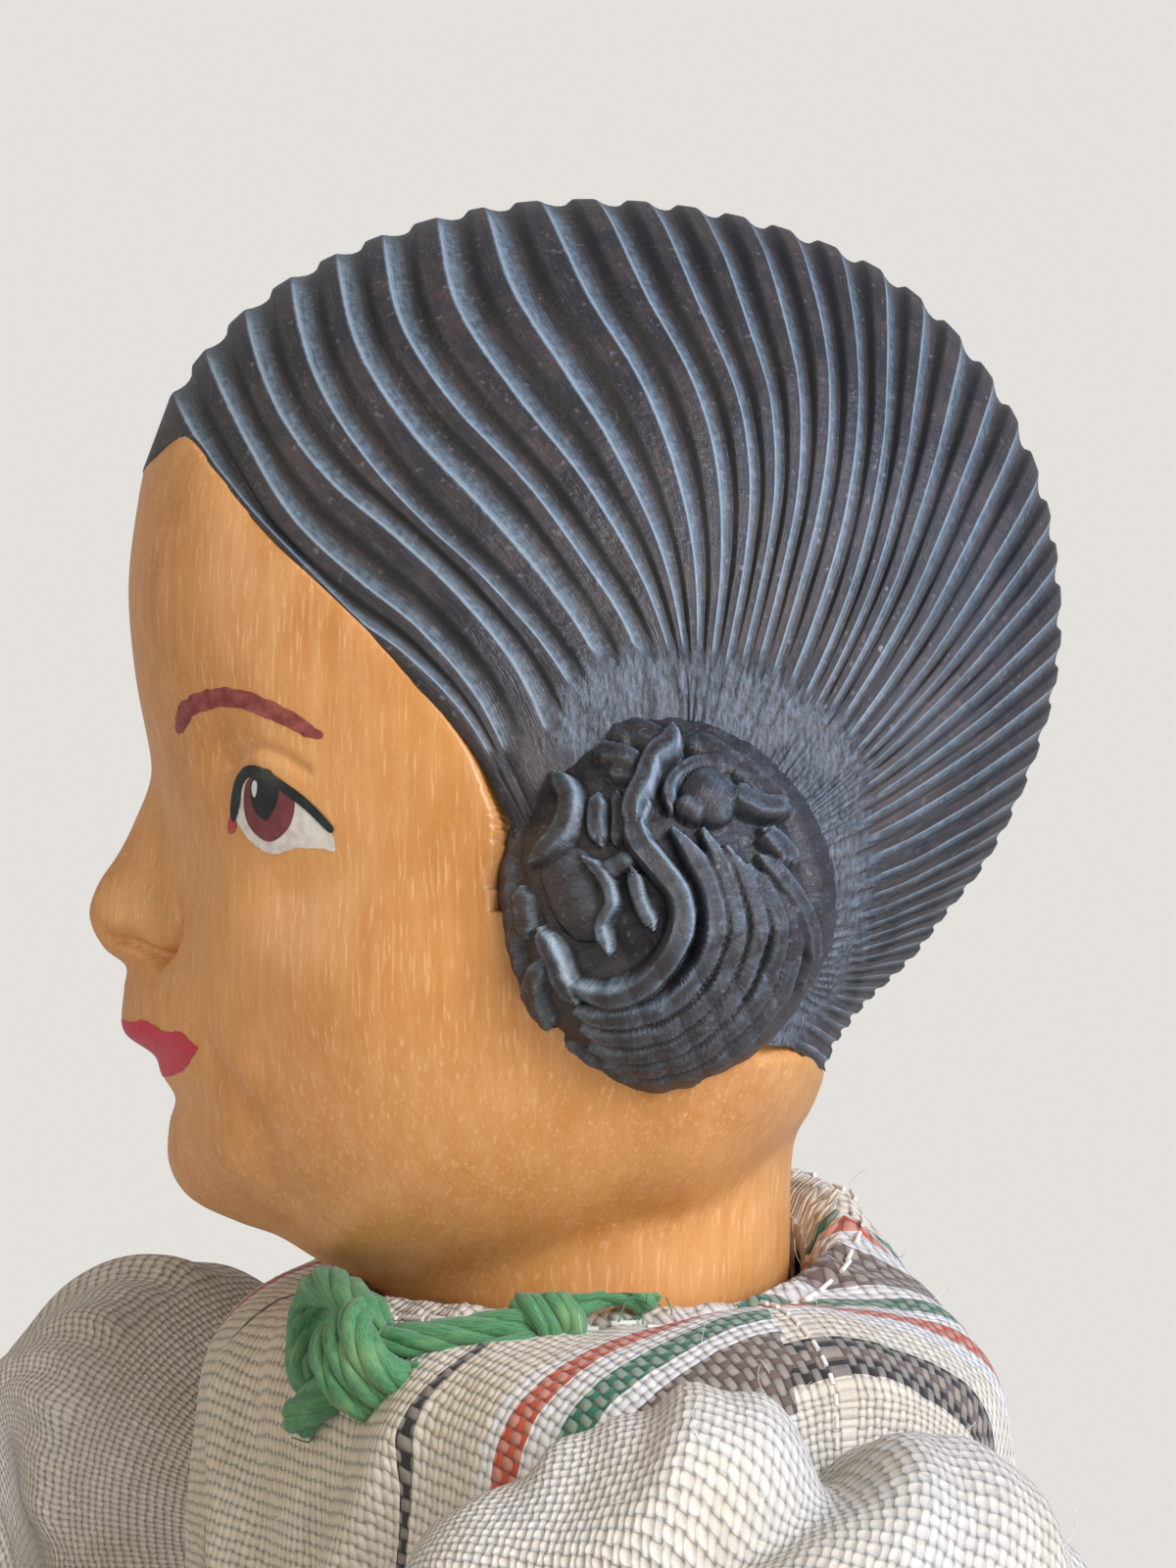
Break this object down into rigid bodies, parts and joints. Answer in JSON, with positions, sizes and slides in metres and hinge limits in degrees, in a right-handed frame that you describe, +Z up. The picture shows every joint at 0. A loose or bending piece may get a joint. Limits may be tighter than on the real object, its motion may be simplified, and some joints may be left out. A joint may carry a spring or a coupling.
{
  "type": "peg wooden doll",
  "caption": "Jointed wooden doll with a carved, painted head that turns, combed hair with side buns, pegged arms and legs, striped cotton blouse with a corded tie, and plain drawers.",
  "frame": {"origin": "floor level under the middle of the doll's bounding box", "axes": "the doll faces -Y, its left side is +X, +Z is up"},
  "size_m": [0.0928, 0.1032, 0.31],
  "materials": {
    "carved_wood": "satin, oiled and painted",
    "peg_wood": "bare, sanded",
    "blouse_cloth": "coarse plain weave with woven stripes",
    "drawers_cloth": "plain cotton",
    "floss": "six-strand cotton floss"
  },
  "bodies": {
    "torso": {"torso": "carved_wood", "neck_pin": "peg_wood", "shoulder_peg_left": "peg_wood", "shoulder_peg_right": "peg_wood", "hip_peg_left": "peg_wood", "hip_peg_right": "peg_wood", "blouse_body": "blouse_cloth", "neck_tie": "floss", "drawers_band": "drawers_cloth"},
    "head": {"head": "carved_wood", "neck_dowel": "peg_wood"},
    "upper_arm_left": {"upper_arm_left": "carved_wood", "elbow_peg_left": "peg_wood", "sleeve_left": "blouse_cloth"},
    "forearm_left": {"forearm_left": "carved_wood"},
    "thigh_left": {"thigh_left": "carved_wood", "knee_peg_left": "peg_wood", "drawers_left": "drawers_cloth"},
    "shin_left": {"shin_left": "carved_wood"},
    "upper_arm_right": {"upper_arm_right": "carved_wood", "elbow_peg_right": "peg_wood", "sleeve_right": "blouse_cloth"},
    "forearm_right": {"forearm_right": "carved_wood"},
    "thigh_right": {"thigh_right": "carved_wood", "knee_peg_right": "peg_wood", "drawers_right": "drawers_cloth"},
    "shin_right": {"shin_right": "carved_wood"}
  },
  "joints": [
    {"name": "head_turn", "type": "hinge", "parent": "torso", "child": "head", "pos_m": [0, 0.02776, 0.255], "axis": [0, 0, 1], "range_deg": [-30, 90]},
    {"name": "shoulder_left", "type": "hinge", "parent": "torso", "child": "upper_arm_left", "pos_m": [0.0301, 0.02776, 0.238], "axis": [-1, 0, 0], "range_deg": [-60, 95]},
    {"name": "elbow_left", "type": "hinge", "parent": "upper_arm_left", "child": "forearm_left", "pos_m": [0.0301, -0.00181, 0.20276], "axis": [-1, 0, 0], "range_deg": [-15, 75]},
    {"name": "hip_left", "type": "hinge", "parent": "torso", "child": "thigh_left", "pos_m": [0.0115, 0.02776, 0.148], "axis": [-1, 0, 0], "range_deg": [-15, 90]},
    {"name": "knee_left", "type": "hinge", "parent": "thigh_left", "child": "shin_left", "pos_m": [0.0115, 0.02776, 0.078], "axis": [1, 0, 0], "range_deg": [0, 90]},
    {"name": "shoulder_right", "type": "hinge", "parent": "torso", "child": "upper_arm_right", "pos_m": [-0.0301, 0.02776, 0.238], "axis": [-1, 0, 0], "range_deg": [-60, 95]},
    {"name": "elbow_right", "type": "hinge", "parent": "upper_arm_right", "child": "forearm_right", "pos_m": [-0.0301, -0.00181, 0.20276], "axis": [-1, 0, 0], "range_deg": [-15, 75]},
    {"name": "hip_right", "type": "hinge", "parent": "torso", "child": "thigh_right", "pos_m": [-0.0115, 0.02776, 0.148], "axis": [-1, 0, 0], "range_deg": [-15, 90]},
    {"name": "knee_right", "type": "hinge", "parent": "thigh_right", "child": "shin_right", "pos_m": [-0.0115, 0.02776, 0.078], "axis": [1, 0, 0], "range_deg": [0, 90]}
  ]
}
